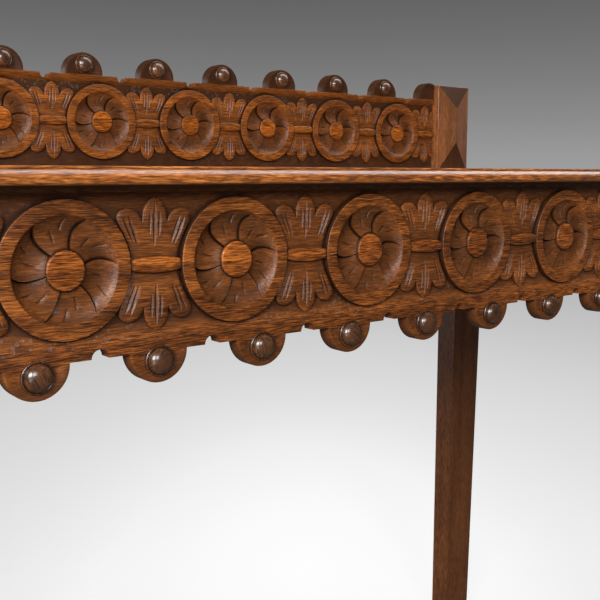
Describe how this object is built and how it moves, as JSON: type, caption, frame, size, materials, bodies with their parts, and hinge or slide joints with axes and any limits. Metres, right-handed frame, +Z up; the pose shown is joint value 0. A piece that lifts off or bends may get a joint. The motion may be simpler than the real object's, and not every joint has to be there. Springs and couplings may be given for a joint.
{
  "type": "communion table",
  "caption": "Oak side table with tapered legs, a frieze of carved roundels and leaves over a lobed edge with turned bosses, and a matching carved gallery on the rear of the top.",
  "frame": {"origin": "on the floor under the middle of the top", "axes": "+X along the table to the right as seen from the front, +Y to the rear where the gallery stands, +Z up"},
  "size_m": [1.222, 0.526, 0.8959],
  "materials": {
    "waxed_oak": "waxed, dark with age",
    "carved_oak": "carved and waxed, dark in the hollows",
    "turned_oak": "turned and polished",
    "plain_oak": "unfinished, oxidised",
    "steel_screws": "dull"
  },
  "bodies": {
    "root": {"top_front_board": "waxed_oak", "top_middle_board": "waxed_oak", "top_rear_board": "waxed_oak", "top_tongues": "plain_oak", "front_left_leg": "waxed_oak", "front_right_leg": "waxed_oak", "rear_left_leg": "waxed_oak", "rear_right_leg": "waxed_oak", "front_rail": "plain_oak", "rear_rail": "waxed_oak", "left_rail": "plain_oak", "right_rail": "plain_oak", "front_frieze": "carved_oak", "left_frieze": "carved_oak", "right_frieze": "carved_oak", "front_bosses": "turned_oak", "left_bosses": "turned_oak", "right_bosses": "turned_oak", "gallery_board": "carved_oak", "gallery_left_post": "waxed_oak", "gallery_right_post": "waxed_oak", "gallery_bosses": "turned_oak", "gallery_board_dowels": "plain_oak", "gallery_post_dowels": "plain_oak", "front_rail_pegs": "turned_oak", "rear_rail_pegs": "turned_oak", "side_rail_pegs": "turned_oak", "front_left_block": "plain_oak", "front_right_block": "plain_oak", "rear_left_block": "plain_oak", "rear_right_block": "plain_oak", "top_buttons": "plain_oak", "button_screws": "steel_screws", "frieze_screws": "steel_screws"}
  },
  "joints": []
}
